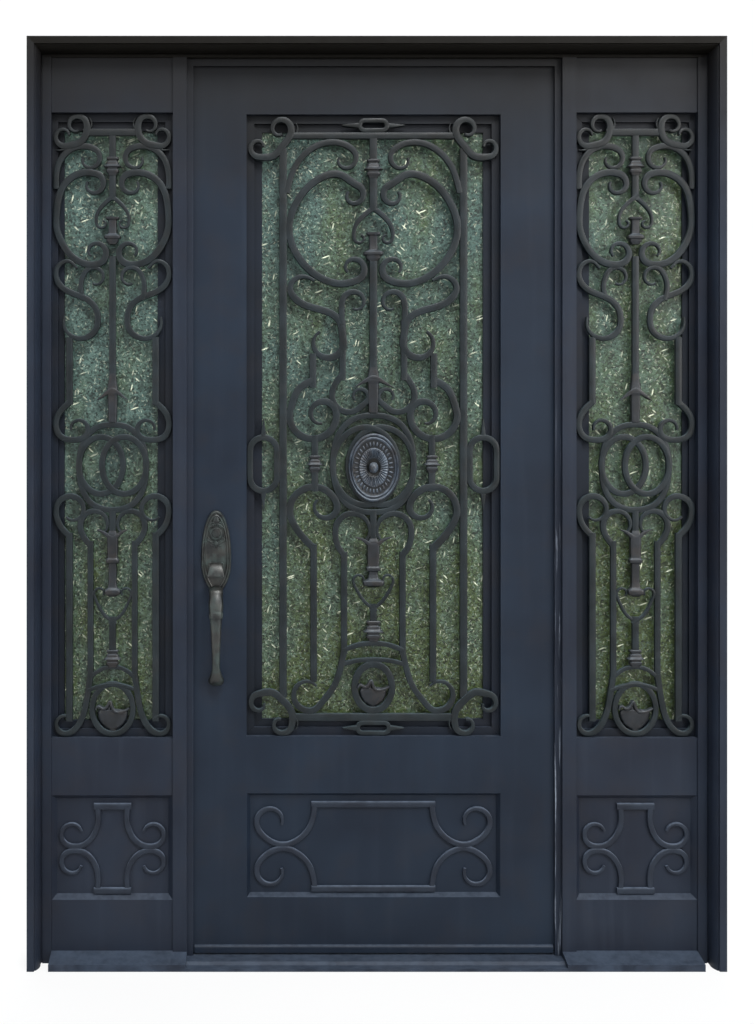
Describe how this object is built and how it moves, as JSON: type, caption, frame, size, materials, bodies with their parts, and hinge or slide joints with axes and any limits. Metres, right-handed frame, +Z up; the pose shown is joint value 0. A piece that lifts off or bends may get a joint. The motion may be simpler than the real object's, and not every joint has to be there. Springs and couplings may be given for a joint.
{
  "type": "wrought iron entry door",
  "caption": "Wrought iron entry door with a glazed scrollwork leaf that swings inwards, matching fixed sidelights and a moulded iron casing.",
  "frame": {"origin": "on the floor under the middle of the threshold", "axes": "+X to the right seen from outside, +Y from outside to inside, +Z up; the moulded front faces -Y"},
  "size_m": [1.83, 0.192, 2.445],
  "materials": {
    "painted_iron": "satin",
    "forged_iron": "satin",
    "sill_iron": "worn satin",
    "obscure_glass": "rippled",
    "patinated_bronze": "patinated",
    "hinge_steel": "satin"
  },
  "bodies": {
    "frame": {"door_stop": "painted_iron", "frame_hinges": "hinge_steel", "head": "painted_iron", "left_jamb": "painted_iron", "left_mullion": "painted_iron", "left_sidelight_bottom_rail": "painted_iron", "left_sidelight_glass": "obscure_glass", "left_sidelight_glazing_frame": "painted_iron", "left_sidelight_grille": "forged_iron", "left_sidelight_grille_bowl": "forged_iron", "left_sidelight_grille_castings": "forged_iron", "left_sidelight_lower_ornament": "forged_iron", "left_sidelight_lower_panel": "painted_iron", "left_sidelight_mid_rail": "painted_iron", "left_sidelight_sill": "sill_iron", "left_sidelight_top_panel": "painted_iron", "right_jamb": "painted_iron", "right_mullion": "painted_iron", "right_sidelight_bottom_rail": "painted_iron", "right_sidelight_glass": "obscure_glass", "right_sidelight_glazing_frame": "painted_iron", "right_sidelight_grille": "forged_iron", "right_sidelight_grille_bowl": "forged_iron", "right_sidelight_grille_castings": "forged_iron", "right_sidelight_lower_ornament": "forged_iron", "right_sidelight_lower_panel": "painted_iron", "right_sidelight_mid_rail": "painted_iron", "right_sidelight_sill": "sill_iron", "right_sidelight_top_panel": "painted_iron", "threshold": "sill_iron"},
    "door_leaf": {"deadbolt_cylinder": "patinated_bronze", "door_bottom_rail": "painted_iron", "door_glass": "obscure_glass", "door_glazing_frame": "painted_iron", "door_grille": "forged_iron", "door_grille_bowl": "forged_iron", "door_grille_castings": "forged_iron", "door_grille_medallion": "forged_iron", "door_hinges": "hinge_steel", "door_lower_ornament": "forged_iron", "door_lower_panel": "painted_iron", "door_mid_rail": "painted_iron", "door_top_rail": "painted_iron", "drip_strip": "painted_iron", "handle_plate": "patinated_bronze", "hinge_stile": "painted_iron", "inside_lever": "patinated_bronze", "inside_thumb_turn": "patinated_bronze", "lock_stile": "painted_iron", "pull_grip": "patinated_bronze"},
    "thumb_latch": {"thumb_latch": "patinated_bronze"}
  },
  "joints": [
    {"name": "door_hinge", "type": "hinge", "parent": "frame", "child": "door_leaf", "pos_m": [0.497, 0.08, 1.26], "axis": [0, 0, -1], "range_deg": [0, 100]},
    {"name": "thumb_latch_pivot", "type": "hinge", "parent": "door_leaf", "child": "thumb_latch", "pos_m": [-0.421, 0.001, 1.023], "axis": [1, 0, 0], "range_deg": [0, 12], "stiffness_Nm_per_rad": 0.6}
  ]
}
